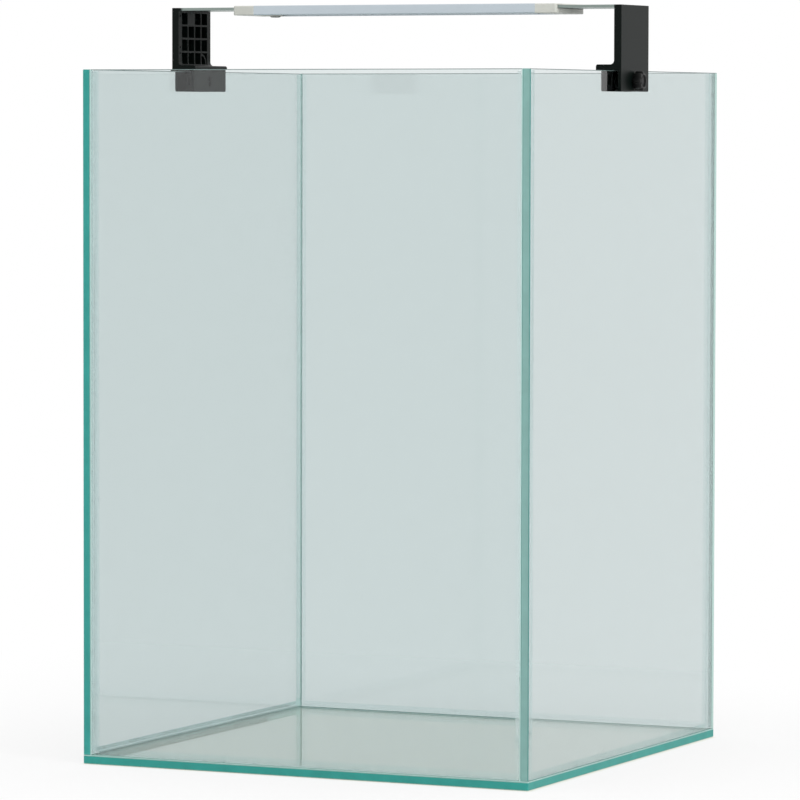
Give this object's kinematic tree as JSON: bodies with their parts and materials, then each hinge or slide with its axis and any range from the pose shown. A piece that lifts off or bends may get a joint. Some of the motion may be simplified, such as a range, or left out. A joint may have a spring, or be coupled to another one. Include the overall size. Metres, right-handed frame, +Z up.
{
  "type": "column aquarium kit",
  "caption": "Tall square rimless glass tank with silicone-sealed edges and a slim clip-on lamp bar that slides on flat arms between rim brackets with clamp knobs.",
  "frame": {"origin": "on the ground, at the middle of the tank's square footprint", "axes": "+Z up, the tank's front faces -Y, the lamp bar runs along X"},
  "size_m": [0.3746, 0.35, 0.5482],
  "materials": {
    "float_glass": "clear, faintly green, teal at the cut edges",
    "clear_silicone": "translucent, satin",
    "dark_moulded_plastic": "fine moulded texture",
    "arm_metal": "satin",
    "screw_steel": "plated",
    "black_screw_steel": "black oxide",
    "soft_grip_rubber": "matt",
    "knob_plastic": "matt",
    "ivory_plastic": "satin",
    "anodised_aluminium": "fine satin, anodised",
    "board_laminate": "white solder mask",
    "led_package": "cast resin",
    "clear_acrylic": "clear, polished"
  },
  "bodies": {
    "tank": {"bottom_pane": "float_glass", "left_pane": "float_glass", "right_pane": "float_glass", "front_pane": "float_glass", "back_pane": "float_glass", "floor_seam": "clear_silicone", "back_right_seam": "clear_silicone", "front_right_seam": "clear_silicone", "back_left_seam": "clear_silicone", "front_left_seam": "clear_silicone"},
    "lamp_frame": {"left_bracket": "dark_moulded_plastic", "left_arm": "arm_metal", "left_arm_screw": "screw_steel", "left_grip": "soft_grip_rubber", "left_grip_screws": "black_screw_steel", "right_bracket": "dark_moulded_plastic", "right_arm": "arm_metal", "right_arm_screw": "screw_steel", "right_grip": "soft_grip_rubber", "right_grip_screws": "black_screw_steel"},
    "lamp_bar": {"lamp_housing": "anodised_aluminium", "left_end_cap": "ivory_plastic", "right_end_cap": "ivory_plastic", "power_inlet": "knob_plastic", "led_board": "board_laminate", "leds": "led_package", "light_cover": "clear_acrylic"},
    "left_pad": {"left_pressure_pad": "soft_grip_rubber"},
    "left_clamp": {"left_clamp_screw": "black_screw_steel", "left_clamp_knob": "knob_plastic"},
    "right_pad": {"right_pressure_pad": "soft_grip_rubber"},
    "right_clamp": {"right_clamp_screw": "black_screw_steel", "right_clamp_knob": "knob_plastic"}
  },
  "joints": [
    {"name": "lamp_lift", "type": "slide", "parent": "tank", "child": "lamp_frame", "axis": [0, 0, 1], "range_m": [0, 0.06]},
    {"name": "lamp_bar_slide", "type": "slide", "parent": "lamp_frame", "child": "lamp_bar", "axis": [1, 0, 0], "range_m": [-0.04, 0.04]},
    {"name": "left_pad_slide", "type": "slide", "parent": "lamp_frame", "child": "left_pad", "axis": [-1, 0, 0], "range_m": [0, 0.0012]},
    {"name": "left_clamp_turn", "type": "hinge", "parent": "left_pad", "child": "left_clamp", "pos_m": [-0.1765, 0, 0.4926], "axis": [-1, 0, 0], "range_deg": [0, 540]},
    {"name": "right_pad_slide", "type": "slide", "parent": "lamp_frame", "child": "right_pad", "axis": [1, 0, 0], "range_m": [0, 0.0012]},
    {"name": "right_clamp_turn", "type": "hinge", "parent": "right_pad", "child": "right_clamp", "pos_m": [0.1765, 0, 0.4926], "axis": [1, 0, 0], "range_deg": [0, 540]}
  ],
  "couplings": [
    {"joint": "left_clamp_turn", "follows": "left_pad_slide", "rad_per_m": 7853.9},
    {"joint": "right_clamp_turn", "follows": "right_pad_slide", "rad_per_m": 7853.9}
  ]
}
